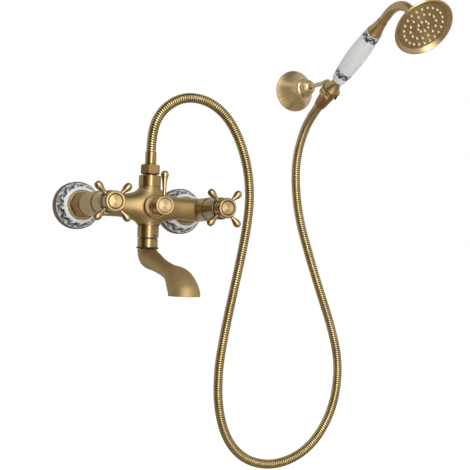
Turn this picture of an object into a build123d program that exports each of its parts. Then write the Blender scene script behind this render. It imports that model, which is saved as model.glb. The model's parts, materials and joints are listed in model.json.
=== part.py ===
from build123d import *
import math
import os

# Wall-mounted bath and shower mixer in antique brass with porcelain trim, with its hose,
# hand shower and wall holder. Millimetres. +X runs right along the wall, +Y runs into the
# wall and +Z runs up. The wall is the plane y = 0, and the origin is on it, midway
# between the two inlets. "Reach" is a distance out from the wall, towards -Y.

os.makedirs("parts", exist_ok=True)

# Layout
inlet_spacing = 150.0
body_reach = 80.0
holder_x = 258.0
holder_z = 191.6

# Clearances
fit_gap = 0.1
running_gap = 0.05
turning_gap = 0.4
face_gap = 0.3

# Eccentric inlet unions, nuts and tails
tail_radius = 10.48
tail_length = 16.0
tail_bore = 6.5
union_offset = 6.0
union_thread = 13.2
union_bore = 9.5
union_shank = 4.0
union_blend = 16.0
nut_flats = 30.0
nut_length = 28.0
nut_lip = 3.0
nut_setback = 3.0
corner_slope = 0.6
inlet_washer = 2.0
inlet_flange = 2.5
inlet_flange_radius = 12.9
inlet_pipe_radius = 10.3
inlet_pipe_bore = 7.5
inlet_pipe_depth = 8.0

# Rosettes on the wall
rosette_radius = 31.7
rosette_rim = 12.0
rosette_wall = 1.5
rosette_depth = 30.0
rosette_mouth = 20.0
rosette_sleeve = 15.3
rosette_web = 21.5
lock_ring_depth = 4.2

# Body casting
arm_radius = 15.0
barrel_radius = 15.5
barrel_length = 32.0
neck_radius = 14.2
neck_up = 26.0
neck_down = 24.0
cast_fillet = 5.0
boss_radius = 14.5
boss_length = 24.0
valve_pocket = 10.48
valve_pocket_depth = 28.0
valve_seat_bore = 6.2
gallery_radius = 5.5
gallery_reach = 6.0
diverter_pocket = 10.0
diverter_pocket_back = 2.0
outlet_thread = 10.4
outlet_thread_length = 8.0
outlet_bore = 6.0

# Quarter-turn valves
seal_height = 2.0
disc_radius = 8.0
disc_height = 3.0
disc_port = 2.4
disc_port_offset = 4.2
cage_play = 0.88
valve_thread_play = 0.08
cage_length = 12.0
headwork_flats = 21.0
headwork_hex = 6.0
tower_radius = 7.0
tower_length = 18.0
spindle_radius = 4.0
spindle_fork = 7.5
spindle_fork_height = 4.0
shroud_radius = 14.3
shroud_wall = 1.4
shroud_length = 32.0

# Cross handles
hub_reach = 27.0
hub_radius = 12.3
hub_length = 24.0
hub_rim_radius = 13.0
hub_rim = 5.0
hub_dish = 9.8
hub_dish_depth = 3.0
handle_socket = 10.0
handle_screw_radius = 1.5
handle_screw_head = 3.6
cap_disc = 8.0
cap_plug = 5.9
arm_count = 4
arm_reach = 40.0
arm_neck = 2.4
arm_bulb = 4.9
arm_tip = 31.5
arm_root = 8.2

# Diverter
bonnet_radius = 15.5
bonnet_face = 2.0
bonnet_rim = 1.0
bonnet_neck = 9.2
bonnet_neck_length = 7.0
diverter_spindle_radius = 5.0
rotor_radius = 9.6
rotor_length = 13.5
rotor_port = 4.4
knob_radius = 12.5
knob_back = 10.2
knob_neck = 8.5
knob_neck_length = 7.5
knob_length = 14.0
lever_top = 44.0
lever_root = 9.5
lever_stem = 2.7
lever_bulb = 5.1
lever_setback = 5.0

# Shower outlet on top and the hose's first fitting
outlet_collar_radius = 14.6
outlet_collar_height = 15.0
outlet_relief = 9.45
outlet_relief_height = 2.4
outlet_nipple = 5.2
hose_washer_height = 2.0
hose_nut_flats = 23.0
hose_nut_height = 12.0
hose_nut_lip = 2.2
hose_flange_height = 2.0
ferrule_radius = 7.35
ferrule_height = 29.0

# Hose
hose_radius = 6.6
hose_root_radius = 6.0
hose_bore = 4.6
hose_ribs = 84
hose_bend_share = 0.45
hose_rib = ((0.0, hose_radius), (0.62, hose_radius), (0.7, hose_root_radius), (0.92, hose_root_radius))

# Spout
spout_collar_radius = 14.0
spout_collar_height = 17.0
spout_nipple_radius = 12.0
spout_nipple_height = 8.5
spout_stub_radius = 9.5
spout_stub_wall = 3.7
spout_floor = 3.0
elbow_radius = 13.0
elbow_turn = 75.0
elbow_pipe = 12.9
spout_stub_height = 27.0
spout_ring_radius = 13.4
spout_ring_height = 11.0
spout_ring_gap = 1.0
spout_ring_lip = 1.6
spout_clip_radius = 11.6
spout_clip_groove = 0.8
spout_clip_play = 0.15
wear_ring_radius = 15.0
wear_ring_height = 1.8
spout_wall = 2.2
spout_outlet_radius = 19.4
o_ring_section = 1.1
collar_slot_width = 5.0
collar_slot_height = 1.8

# Aerator
aerator_radius = 14.1
aerator_setback = 4.5
aerator_throat = 4.0
aerator_height = 5.0
aerator_shoulder = 12.2
aerator_ring_wall = 1.6
aerator_screen = 1.5
aerator_hole = 1.5
aerator_pitch = 5.0

# Wall holder
plate_radius = 22.0
plate_thickness = 4.0
plate_hole = 2.6
plate_hole_spacing = 30.0
screw_thread = 2.3
screw_neck = 1.9
screw_length = 32.0
plate_boss = 8.0
plate_boss_reach = 34.0
bell_radius = 30.4
bell_lip = 2.5
bell_reach = 29.0
bell_front_radius = 13.4
bell_wall = 1.6
holder_bead = 14.0
holder_drum = 10.9
holder_nose_reach = 48.5
rod_radius = 3.2
rod_start_reach = 38.0
rod_end_reach = 93.5
lug_radius = 3.9
lug_start_reach = 88.0
lug_end_reach = 96.5

# Hand shower; stations are distances along its handle from the foot of its axis
handle_rise = 31.1
foot_y = 51.5
foot_z = 84.3
cradle_low = 172.5
cradle_step = 178.5
cradle_high = 184.5
cradle_radius = 12.8
cradle_band_radius = 13.4
cradle_slot = 15.0
cradle_slot_turn = 13.0
cone_low = 147.0
cone_shoulder = 4.0
cone_low_radius = 8.0
cone_high = 185.5
cone_high_radius = 11.9
cone_bore = 9.4
cone_thread_low = 173.0
cone_hose_bore = 5.0
stem_low = 174.5
lower_ferrule_foot = 185.8
lower_ferrule_top = 206.0
lower_ferrule_flange = 12.0
lower_ferrule_waist = 7.2
lower_ferrule_neck = 8.8
grip_low_radius = 9.8
grip_mid_radius = 13.7
grip_high_radius = 10.8
grip_length = 96.0
tie_tube_radius = 4.5
tie_tube_bore = 3.0
upper_ferrule_length = 22.0
upper_ferrule_radius = 10.5
neck_tube_radius = 6.2
neck_tube_bore = 4.2
neck_straight = 12.6
neck_bend_radius = 39.3
neck_bend_angle = 74.0
neck_end_length = 14.0

# Shower head; depths are measured back from the rim's front, and a ring of nozzles is
# its radius, its count and the share of a step that it is turned by
head_depth = 31.5
head_radius = 38.3
head_socket = 4.0
head_spigot_wall = 1.0
head_spigot_height = 2.2
head_nut_wall = 1.2
head_nut_height = 4.2
head_nut_flutes = 36
head_nut_flute = 0.35
head_wall = 1.8
rim_depth = 3.6
rim_land = 1.2
face_radius = 31.7
face_recess = 4.6
face_thickness = 1.6
nozzle_radius = 1.25
nozzle_height = 2.2
nozzle_rings = ((25.6, 22, 0.5), (17.0, 14, 0.5), (7.1, 8, 0.0))

# Places worked out from the sizes above
valve_end = body_reach + barrel_length
barrel_back = body_reach - barrel_radius
nut_front = barrel_back - nut_setback
nut_back = nut_front - nut_length
inlet_flange_front = nut_front - nut_lip
union_end = inlet_flange_front - inlet_flange - inlet_washer
seat_reach = valve_end - valve_pocket_depth
cage_radius = valve_pocket - cage_play
valve_thread = valve_pocket - valve_thread_play
headwork_foot = seat_reach + seal_height
hub_back = valve_end + hub_reach
hub_front = hub_back + hub_length
boss_end = body_reach + boss_length
outlet_top = neck_up + outlet_collar_height
hose_nut_bottom = outlet_top + outlet_relief_height - 0.4
nipple_top = hose_nut_bottom + outlet_nipple
ferrule_bottom = nipple_top + hose_washer_height
ferrule_top = hose_nut_bottom + ferrule_height
collar_bottom = -neck_down - spout_collar_height
ring_top = collar_bottom - spout_ring_gap
ring_bottom = ring_top - spout_ring_height
wear_bottom = ring_bottom - wear_ring_height
spout_shoulder = wear_bottom - face_gap
spout_stub_bore = spout_stub_radius - spout_stub_wall
spout_clip_root = spout_stub_radius - spout_clip_groove
head_spigot = neck_tube_radius + fit_gap + head_spigot_wall
head_nut_radius = head_spigot + head_nut_wall
sides = (("left", -inlet_spacing / 2), ("right", inlet_spacing / 2))


def out_plane(x, z=0.0):
    """Plane whose x runs right and whose y runs out from the wall."""
    return Plane(origin=(x, 0, z), x_dir=(1, 0, 0), z_dir=(0, 0, -1))


def up_plane(x, y):
    """Plane whose x runs right and whose y runs up."""
    return Plane(origin=(x, y, 0), x_dir=(1, 0, 0), z_dir=(0, -1, 0))


def facing_out(x, reach, z=0.0):
    """Plane that faces out from the wall at a given reach."""
    return Plane(origin=(x, -reach, z), x_dir=(1, 0, 0), z_dir=(0, -1, 0))


def facing_right(x, reach):
    """Plane that faces right at a given place and reach."""
    return Plane(origin=(x, -reach, 0), x_dir=(0, 1, 0), z_dir=(1, 0, 0))


def spoke_plane(x, k):
    """Plane whose y runs out along one arm of a cross handle."""
    angle = math.radians(45 + k * 360 / arm_count)
    outward = (math.sin(angle), 0, -math.cos(angle))
    return Plane(origin=(x, -valve_end - arm_reach, 0), x_dir=(0, 1, 0), z_dir=outward)


def turned(plane, outline, mode=Mode.ADD):
    """Turn a closed outline of (radius, height) points about the plane's y axis."""
    with BuildSketch(plane) as half:
        with BuildLine():
            Polyline(*outline, close=True)
        make_face()
    revolve(half.sketch, axis=Axis(plane.origin, plane.y_dir), mode=mode)


def turned_smooth(plane, curve, closing, mode=Mode.ADD):
    """Turn an outline that is a smooth curve, closed by straight lines."""
    with BuildSketch(plane) as half:
        with BuildLine():
            Spline(*curve)
            Polyline(curve[-1], *closing, curve[0])
        make_face()
    revolve(half.sketch, axis=Axis(plane.origin, plane.y_dir), mode=mode)


def tube(plane, outer, inner, start, end, mode=Mode.ADD):
    """A plain ring, sleeve or rod about the plane's y axis."""
    turned(plane, ((inner, start), (outer, start), (outer, end), (inner, end)), mode)


def bore(plane, radius, start, end):
    """Cut a round hole along the plane's y axis."""
    turned(plane, ((0, start), (radius, start), (radius, end), (0, end)), Mode.SUBTRACT)


def hexagon(plane, flats, length):
    """A hexagonal prism on a plane, with its corners turned off at both ends."""
    land = flats / 2
    past = flats / math.sqrt(3) + 1
    drop = (past - land) * corner_slope
    with BuildSketch(plane) as outline:
        RegularPolygon(land, 6, major_radius=False)
    extrude(outline.sketch, amount=length)
    side = Plane(origin=plane.origin, x_dir=plane.x_dir, z_dir=-plane.y_dir)
    turned(side, ((land, 0), (past, 0), (past, drop)), Mode.SUBTRACT)
    turned(side, ((land, length), (past, length), (past, length - drop)), Mode.SUBTRACT)


def write(sub_part, name):
    """Label a finished sub-part and write its STEP file."""
    sub_part.part.label = name
    export_step(sub_part.part, f"parts/{name}.step")


# Eccentric unions that screw into the supply pipes
for side, x in sides:
    axis = out_plane(x)
    tail_axis = out_plane(x, -union_offset)
    thread_start = union_shank + union_blend
    with BuildPart() as inlet_union:
        tube(tail_axis, tail_radius, 0, -tail_length, union_shank)
        with BuildSketch(facing_out(x, union_shank, -union_offset)):
            Circle(union_thread - fit_gap)
        with BuildSketch(facing_out(x, thread_start)):
            Circle(union_thread)
        loft()
        tube(axis, union_thread, 0, thread_start, union_end)
        bore(tail_axis, tail_bore, -tail_length, thread_start - union_shank)
        bore(axis, union_bore, thread_start - union_shank, union_end)
    write(inlet_union, f"{side}_inlet_union")

    # Brass cup that stands on the wall and carries the porcelain
    cup_lip = rosette_radius - rosette_wall
    with BuildPart() as rosette_base:
        cup = (
            (rosette_radius, 0),
            (rosette_radius, rosette_rim - 0.6),
            (rosette_radius - 0.6, rosette_rim),
            (cup_lip + 0.3, rosette_rim),
            (cup_lip + 0.3, rosette_rim - 2.5),
            (rosette_sleeve, rosette_web),
            (rosette_sleeve, rosette_depth - lock_ring_depth + 0.2),
            (union_thread + fit_gap, rosette_depth - lock_ring_depth + 0.2),
            (union_thread + fit_gap, rosette_web - 1.2),
            (cup_lip - 1.2, rosette_rim - 4),
            (cup_lip, rosette_rim - 4),
            (cup_lip, 0),
        )
        turned(axis, cup)
    write(rosette_base, f"{side}_rosette_base")

    with BuildPart() as porcelain:
        seat_start = rosette_depth - lock_ring_depth + 0.6
        bell = (
            (cup_lip + 0.1, rosette_rim - 2),
            (cup_lip - 0.1, rosette_rim + 2.5),
            (cup_lip - 2.4, rosette_rim + 9),
            (cup_lip - 6, rosette_rim + 14.5),
            (rosette_mouth + 0.6, rosette_depth),
        )
        inside = (
            (rosette_mouth, rosette_depth),
            (rosette_mouth, seat_start),
            (rosette_sleeve + face_gap, seat_start),
            (rosette_sleeve + face_gap, rosette_web + 0.5),
        )
        turned_smooth(axis, bell, inside)
    write(porcelain, f"{side}_porcelain_rosette")

# Rings that hold the porcelain on its cups
with BuildPart() as lock_rings:
    for side, x in sides:
        start = rosette_depth - lock_ring_depth + 0.7
        end = rosette_depth + 0.8
        outer = rosette_mouth - 0.2
        inner = union_thread + fit_gap
        ring = ((inner, start), (outer, start), (outer, end - 0.8), (outer - 0.8, end), (inner, end))
        turned(out_plane(x), ring)
write(lock_rings, "rosette_lock_rings")

# Union nuts, washers and the tails that they draw onto the body
with BuildPart() as union_nuts:
    for side, x in sides:
        hexagon(facing_out(x, nut_back), nut_flats, nut_length)
        bore(out_plane(x), union_thread + fit_gap, nut_back, inlet_flange_front)
        bore(out_plane(x), inlet_pipe_radius + fit_gap, inlet_flange_front, nut_front)
write(union_nuts, "union_nuts")

with BuildPart() as union_washers:
    for side, x in sides:
        tube(out_plane(x), union_thread - 0.4, union_bore - 1, union_end, union_end + inlet_washer)
write(union_washers, "union_washers")

with BuildPart() as inlet_tails:
    for side, x in sides:
        flange_back = union_end + inlet_washer
        pipe = (
            (inlet_pipe_bore, flange_back),
            (inlet_flange_radius, flange_back),
            (inlet_flange_radius, inlet_flange_front),
            (inlet_pipe_radius, inlet_flange_front),
            (inlet_pipe_radius, barrel_back + inlet_pipe_depth),
            (inlet_pipe_bore, barrel_back + inlet_pipe_depth),
        )
        turned(out_plane(x), pipe)
write(inlet_tails, "inlet_tails")

# Body casting: a cross tube, two valve barrels, two outlet necks and the diverter's boss
with BuildPart() as mixer_body:
    upright = up_plane(0, -body_reach)
    centre = out_plane(0)
    with BuildSketch(facing_right(-inlet_spacing / 2, body_reach)):
        Circle(arm_radius)
    extrude(amount=inlet_spacing)
    turned(upright, ((0, -neck_down), (neck_radius, -neck_down), (neck_radius, neck_up), (0, neck_up)))
    curved = edges().filter_by(GeomType.LINE, reverse=True)
    crossing = [e for e in curved if abs(e.center().X) < 2 * arm_radius]
    fillet([e for e in crossing if abs(e.center().Z) < neck_down - 1], radius=cast_fillet)
    boss = ((0, body_reach), (boss_radius, body_reach), (boss_radius, boss_end), (0, boss_end))
    turned(centre, boss)
    for side, x in sides:
        barrel = (
            (0, barrel_back),
            (barrel_radius - 1.5, barrel_back),
            (barrel_radius, barrel_back + 1.5),
            (barrel_radius, valve_end - 0.8),
            (barrel_radius - 0.8, valve_end),
            (0, valve_end),
        )
        turned(out_plane(x), barrel)
    for side, x in sides:
        axis = out_plane(x)
        bore(axis, inlet_pipe_radius + fit_gap, barrel_back, barrel_back + inlet_pipe_depth + 0.5)
        bore(axis, valve_seat_bore, barrel_back, seat_reach)
        bore(axis, valve_pocket, seat_reach, valve_end)
        bore(axis, valve_pocket + 1.5, seat_reach + seal_height, seat_reach + cage_length)
    gallery_end = inlet_spacing / 2 - valve_pocket - 1
    with BuildSketch(facing_right(0, body_reach + gallery_reach)):
        Circle(gallery_radius)
    extrude(amount=gallery_end, both=True, mode=Mode.SUBTRACT)
    bore(centre, diverter_pocket, body_reach - diverter_pocket_back, boss_end)
    bore(upright, outlet_bore, -neck_down, neck_up)
    bore(upright, outlet_thread + fit_gap, neck_up - outlet_thread_length - 0.5, neck_up)
    bore(upright, outlet_thread + fit_gap, -neck_down, -neck_down + outlet_thread_length + 0.5)
write(mixer_body, "mixer_body")

# Valve seals and fixed ceramic discs, at the bottom of each valve pocket
with BuildPart() as valve_seals:
    for side, x in sides:
        tube(out_plane(x), cage_radius, valve_seat_bore, seat_reach, headwork_foot)
write(valve_seals, "valve_seals")

with BuildPart() as fixed_discs:
    for side, x in sides:
        with BuildSketch(facing_out(x, headwork_foot)):
            Circle(disc_radius + fit_gap)
            with PolarLocations(disc_port_offset, 2):
                Circle(disc_port, mode=Mode.SUBTRACT)
        extrude(amount=disc_height)
write(fixed_discs, "fixed_ceramic_discs")

disc_joint = headwork_foot + disc_height
fork_foot = disc_joint + disc_height
tower_top = valve_end + headwork_hex + tower_length
cap_floor = hub_front - hub_dish_depth
screw_seat = hub_back + handle_socket + 4
spindle_end = hub_back + handle_socket - 0.5

for side, x in sides:
    axis = out_plane(x)

    # Headwork: cage for the discs, thread, hexagon and the spindle's guide tower
    with BuildPart() as headwork:
        hexagon(facing_out(x, valve_end), headwork_flats, headwork_hex)
        stack = (
            (0, headwork_foot),
            (cage_radius, headwork_foot),
            (cage_radius, seat_reach + cage_length),
            (valve_thread, seat_reach + cage_length),
            (valve_thread, valve_end),
            (tower_radius, valve_end),
            (tower_radius, tower_top),
            (0, tower_top),
        )
        turned(axis, stack)
        bore(axis, disc_radius + 2 * fit_gap + 0.1, headwork_foot, fork_foot + spindle_fork_height + 1)
        bore(axis, spindle_radius + running_gap, headwork_foot, tower_top)
        with BuildSketch(facing_right(x, fork_foot + 1.2)):
            Rectangle(3, 9)
        extrude(amount=cage_radius + 1, both=True, mode=Mode.SUBTRACT)
    write(headwork, f"{side}_valve_headwork")

    with BuildPart() as shroud:
        inner = shroud_radius - shroud_wall
        shroud_end = valve_end + shroud_length
        web = valve_end + headwork_hex + 12
        sleeve = (
            (inner, valve_end + 0.2),
            (shroud_radius, valve_end + 0.2),
            (shroud_radius, shroud_end - 1),
            (shroud_radius - 0.6, shroud_end),
            (inner, shroud_end),
            (inner, web + 2),
            (tower_radius + fit_gap, web + 2),
            (tower_radius + fit_gap, web),
            (inner, web),
        )
        turned(axis, sleeve)
    write(shroud, f"{side}_valve_shroud")

    with BuildPart() as moving_disc:
        with BuildSketch(facing_out(x, disc_joint)):
            Circle(disc_radius - 0.1)
            with PolarLocations(disc_port_offset, 2, start_angle=90):
                Circle(disc_port, mode=Mode.SUBTRACT)
        extrude(amount=disc_height)
    write(moving_disc, f"{side}_moving_disc")

    with BuildPart() as spindle:
        shaft = (
            (0, fork_foot),
            (spindle_fork, fork_foot),
            (spindle_fork, fork_foot + spindle_fork_height),
            (spindle_radius, fork_foot + spindle_fork_height),
            (spindle_radius, spindle_end),
            (0, spindle_end),
        )
        turned(axis, shaft)
        bore(axis, handle_screw_radius + fit_gap, spindle_end - 9, spindle_end)
    write(spindle, f"{side}_valve_spindle")

    # Handle hub with its dished front, and four teardrop arms set into it
    with BuildPart() as hub:
        rim_start = hub_front - hub_rim
        hub_outline = (
            (0, hub_back),
            (hub_radius - 0.6, hub_back),
            (hub_radius, hub_back + 0.6),
            (hub_radius, rim_start - 0.5),
            (hub_rim_radius, rim_start),
            (hub_rim_radius, hub_front - 2),
            (hub_rim_radius - 1.2, hub_front),
            (hub_dish, hub_front),
            (hub_dish, cap_floor),
            (0, cap_floor),
        )
        turned(axis, hub_outline)
        bore(axis, spindle_radius + fit_gap, hub_back, hub_back + handle_socket)
        bore(axis, handle_screw_radius + 0.5, hub_back, screw_seat)
        bore(axis, cap_plug + fit_gap, screw_seat, cap_floor)
        for k in range(arm_count):
            bore(spoke_plane(x, k), arm_neck + fit_gap / 2, arm_root, hub_rim_radius + 1)
    write(hub, f"{side}_handle_hub")

    with BuildPart() as arms:
        for k in range(arm_count):
            drop = (
                (arm_neck, hub_radius + 1),
                (arm_neck - 0.1, hub_radius + 3.5),
                (arm_neck + 1.1, arm_tip - 11),
                (arm_bulb, arm_tip - 5.5),
                (arm_bulb * 0.72, arm_tip - 1.2),
                (0, arm_tip),
            )
            root = ((0, arm_root + 0.1), (arm_neck, arm_root + 0.1))
            turned_smooth(spoke_plane(x, k), drop, root)
    write(arms, f"{side}_handle_arms")

    with BuildPart() as cap:
        button = (
            (0, screw_seat + 3.5),
            (cap_plug, screw_seat + 3.5),
            (cap_plug, cap_floor),
            (hub_dish - fit_gap, cap_floor),
            (hub_dish - fit_gap, cap_floor + 1.2),
            (cap_disc + 0.6, cap_floor + 1.2),
            (cap_disc, cap_floor + 2.2),
            (0, cap_floor + 2.8),
        )
        turned(axis, button)
    write(cap, f"{side}_handle_cap")

    with BuildPart() as screw:
        stud = (
            (0, spindle_end - 8),
            (handle_screw_radius, spindle_end - 8),
            (handle_screw_radius, screw_seat),
            (handle_screw_head, screw_seat),
            (handle_screw_head, screw_seat + 2.6),
            (0, screw_seat + 2.6),
        )
        turned(axis, stud)
    write(screw, f"{side}_handle_screw")

# Diverter: bonnet, ported rotor on its spindle, knob and lever
axis = out_plane(0)
knob_start = boss_end + knob_back
knob_face = knob_start + knob_neck_length + knob_length
rotor_back = body_reach - diverter_pocket_back + 0.5
with BuildPart() as bonnet:
    bonnet_outline = (
        (diverter_spindle_radius + running_gap, boss_end - 10),
        (diverter_pocket - fit_gap, boss_end - 10),
        (diverter_pocket - fit_gap, boss_end),
        (bonnet_radius, boss_end),
        (bonnet_radius, boss_end + bonnet_face + bonnet_rim - 0.4),
        (bonnet_radius - 0.4, boss_end + bonnet_face + bonnet_rim),
        (bonnet_radius - 1.4, boss_end + bonnet_face + bonnet_rim),
        (bonnet_radius - 2, boss_end + bonnet_face),
        (bonnet_neck, boss_end + bonnet_face),
        (bonnet_neck, boss_end + bonnet_face + bonnet_neck_length),
        (diverter_spindle_radius + running_gap, boss_end + bonnet_face + bonnet_neck_length),
    )
    turned(axis, bonnet_outline)
write(bonnet, "diverter_bonnet")

with BuildPart() as diverter_spindle:
    rotor_front = rotor_back + rotor_length
    stem_end = knob_face - 6
    stem = (
        (0, rotor_back),
        (rotor_radius, rotor_back),
        (rotor_radius, rotor_front),
        (diverter_spindle_radius, rotor_front),
        (diverter_spindle_radius, stem_end),
        (0, stem_end),
    )
    turned(axis, stem)
    with BuildSketch(facing_right(0, rotor_back + rotor_length / 2)):
        Circle(rotor_port)
    extrude(amount=rotor_radius + 1, both=True, mode=Mode.SUBTRACT)
    bore(up_plane(0, -rotor_back - rotor_length / 2), rotor_port, 0, rotor_radius + 1)
write(diverter_spindle, "diverter_spindle")

with BuildPart() as knob:
    knob_shoulder = knob_start + knob_neck_length
    knob_outline = (
        (0, knob_start),
        (knob_neck, knob_start),
        (knob_neck, knob_shoulder),
        (knob_radius - 1.5, knob_shoulder),
        (knob_radius, knob_shoulder + 1.5),
        (knob_radius, knob_face - 1.2),
        (knob_radius - 0.9, knob_face),
        (knob_radius - 2.6, knob_face),
        (knob_radius - 3, knob_face - 0.9),
        (knob_radius - 4, knob_face - 0.9),
        (knob_radius - 4.3, knob_face - 0.3),
        (0, knob_face),
    )
    turned(axis, knob_outline)
    bore(axis, diverter_spindle_radius + fit_gap, knob_start, stem_end + 0.3)
    bore(up_plane(0, -knob_face + lever_setback), lever_stem + fit_gap, lever_root - 0.2, knob_radius + 1)
write(knob, "diverter_knob")

with BuildPart() as lever:
    grip = (
        (lever_stem, knob_radius + 1.5),
        (lever_stem - 0.2, knob_radius + 8),
        (lever_stem + 0.5, lever_top - 14),
        (lever_bulb - 0.7, lever_top - 8),
        (lever_bulb, lever_top - 4.5),
        (lever_bulb * 0.7, lever_top - 1),
        (0, lever_top),
    )
    lever_plane = up_plane(0, -knob_face + lever_setback)
    turned_smooth(lever_plane, grip, ((0, lever_root), (lever_stem, lever_root)))
write(lever, "diverter_lever")

# Shower outlet, and the nut, washer and ferrule at the hose's foot
axis = up_plane(0, -body_reach)
with BuildPart() as outlet_collar:
    collar_outline = (
        (outlet_bore, neck_up - outlet_thread_length),
        (outlet_thread, neck_up - outlet_thread_length),
        (outlet_thread, neck_up),
        (outlet_collar_radius - 0.5, neck_up),
        (outlet_collar_radius, neck_up + 0.5),
        (outlet_collar_radius, outlet_top - 0.9),
        (outlet_collar_radius - 0.9, outlet_top),
        (outlet_relief, outlet_top),
        (outlet_relief, outlet_top + outlet_relief_height),
        (outlet_thread, outlet_top + outlet_relief_height + 0.5),
        (outlet_thread, nipple_top),
        (outlet_bore, nipple_top),
    )
    turned(axis, collar_outline)
write(outlet_collar, "shower_outlet_collar")

hose_nut_top = hose_nut_bottom + hose_nut_height
with BuildPart() as hose_nut:
    hexagon(Plane((0, -body_reach, hose_nut_bottom)), hose_nut_flats, hose_nut_height)
    bore(axis, outlet_thread + fit_gap, hose_nut_bottom, hose_nut_top - hose_nut_lip)
    bore(axis, ferrule_radius + fit_gap, hose_nut_bottom, hose_nut_top)
write(hose_nut, "hose_nut")

with BuildPart() as hose_washer:
    tube(axis, outlet_thread - 0.2, outlet_bore - 1, nipple_top, ferrule_bottom)
write(hose_washer, "hose_washer")

with BuildPart() as hose_ferrule:
    flange_top = ferrule_bottom + hose_flange_height
    crimp = (
        (hose_bore, ferrule_bottom),
        (outlet_thread - 0.2, ferrule_bottom),
        (outlet_thread - 0.2, flange_top),
        (ferrule_radius, flange_top),
        (ferrule_radius, ferrule_top - 0.5),
        (ferrule_radius - 0.5, ferrule_top),
        (hose_bore, ferrule_top),
    )
    turned(axis, crimp)
write(hose_ferrule, "hose_ferrule")

# Hand shower's handle axis: it leans out from the wall and rises
rise = math.radians(handle_rise)
handle_dir = Vector(0, -math.cos(rise), math.sin(rise))
handle_side = (0, -handle_dir.Z, handle_dir.Y)
handle_plane = Plane(origin=(holder_x, foot_y, foot_z), x_dir=(1, 0, 0), z_dir=handle_side)


def on_handle(station):
    """The point on the handle's axis at a station."""
    return Vector(holder_x, foot_y, foot_z) + handle_dir * station


# Hose: its route's points stand where the hose was seen to hang
hose_end = on_handle(cone_low)
last_bend = on_handle(cone_low - 28)
hose_route = [
    (0, -body_reach, ferrule_top),
    (0, -80, 103),
    (15.5, -80, 132),
    (44.5, -80, 150),
    (79.5, -78, 149),
    (109.7, -76, 132),
    (132.8, -71, 103),
    (148.8, -68, 66),
    (156.8, -64, 26),
    (156.3, -60, -14),
    (148.8, -57, -65),
    (138.8, -55, -118),
    (128.8, -54, -170),
    (121.8, -53, -222),
    (124.7, -52, -274),
    (140.6, -51, -318),
    (169.4, -50, -346),
    (208.4, -49, -357),
    (247.6, -48, -351),
    (281.7, -46, -332),
    (307.7, -44, -300),
    (323.7, -42, -260),
    (327.7, -39, -210),
    (315.7, -35, -160),
    (295.7, -30, -105),
    (275.7, -26, -48),
    (259.7, -22, 5),
    (253.6, -20, 58),
    (255.4, -21, 95),
    (257.3, -32.5, 124),
    tuple(last_bend),
    tuple(hose_end),
]


def bend_radii(route):
    """Arc radii for the corners of a route, each as large as its two runs allow."""
    points = [Vector(*p) for p in route]
    radii = []
    for before, corner, after in zip(points, points[1:], points[2:]):
        turn = math.radians((corner - before).get_angle(after - corner))
        shorter = min((corner - before).length, (after - corner).length)
        radii.append(hose_bend_share * shorter / math.tan(turn / 2))
    return radii


hose_radii = bend_radii(hose_route)
with BuildLine() as hose_line:
    FilletPolyline(*hose_route, radius=hose_radii)
hose_path = hose_line.wires()[0]
print("hose arc radii", [round(r) for r in hose_radii])
print("hose path length", round(hose_path.length, 1))


def hose_section(distance):
    """Plane square to the hose at a distance along it, on a steady X axis."""
    share = min(max(distance / hose_path.length, 0.0), 1.0)
    return Plane(origin=hose_path @ share, x_dir=(0, 1, 0), z_dir=hose_path % share)


with BuildPart() as shower_hose:
    end_run = 2 * hose_radius
    pitch = (hose_path.length - 2 * end_run) / hose_ribs
    with BuildSketch(hose_section(0)):
        Circle(hose_radius)
    for k in range(hose_ribs):
        start = end_run + k * pitch
        for share, radius in hose_rib:
            with BuildSketch(hose_section(start + share * pitch)):
                Circle(radius)
    for distance in (hose_path.length - end_run, hose_path.length):
        with BuildSketch(hose_section(distance)):
            Circle(hose_radius)
    loft(ruled=True)
    with BuildSketch(hose_section(0)) as hose_hole:
        Circle(hose_bore)
    sweep(hose_hole.sketch, path=hose_path, mode=Mode.SUBTRACT)
full = math.pi * (hose_radius**2 - hose_bore**2) * hose_path.length
print("hose volume over a plain tube's", round(shower_hose.part.volume / full, 3))
write(shower_hose, "shower_hose")


# Spout collar, its ring nut and the black wear ring that the spout turns under
axis = up_plane(0, -body_reach)
stub_top = spout_shoulder + spout_stub_height
nipple_bottom = collar_bottom - spout_nipple_height
ring_floor = ring_bottom + spout_ring_lip
with BuildPart() as spout_collar:
    collar_outline = (
        (outlet_bore, -neck_down + outlet_thread_length),
        (outlet_thread, -neck_down + outlet_thread_length),
        (outlet_thread, -neck_down),
        (spout_collar_radius - 0.5, -neck_down),
        (spout_collar_radius, -neck_down - 0.5),
        (spout_collar_radius, collar_bottom + 0.8),
        (spout_collar_radius - 0.8, collar_bottom),
        (spout_nipple_radius, collar_bottom),
        (spout_nipple_radius, nipple_bottom),
        (spout_stub_radius + running_gap, nipple_bottom),
        (spout_stub_radius + running_gap, stub_top + face_gap),
        (outlet_bore, stub_top + face_gap),
    )
    turned(axis, collar_outline)
    slot_depth = spout_collar_radius - spout_stub_radius - 1.5
    with BuildSketch(facing_out(4.5, body_reach + spout_collar_radius - slot_depth, collar_bottom + 3)):
        SlotOverall(collar_slot_width, collar_slot_height)
    extrude(amount=slot_depth, mode=Mode.SUBTRACT)
write(spout_collar, "spout_collar")

with BuildPart() as ring_nut:
    ring_outline = (
        (spout_nipple_radius + running_gap, ring_top),
        (spout_ring_radius - 0.4, ring_top),
        (spout_ring_radius, ring_top - 0.4),
        (spout_ring_radius, ring_bottom),
        (spout_stub_radius + turning_gap, ring_bottom),
        (spout_stub_radius + turning_gap, ring_floor),
        (spout_nipple_radius + running_gap, ring_floor),
    )
    turned(axis, ring_outline)
write(ring_nut, "spout_ring_nut")

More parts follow.
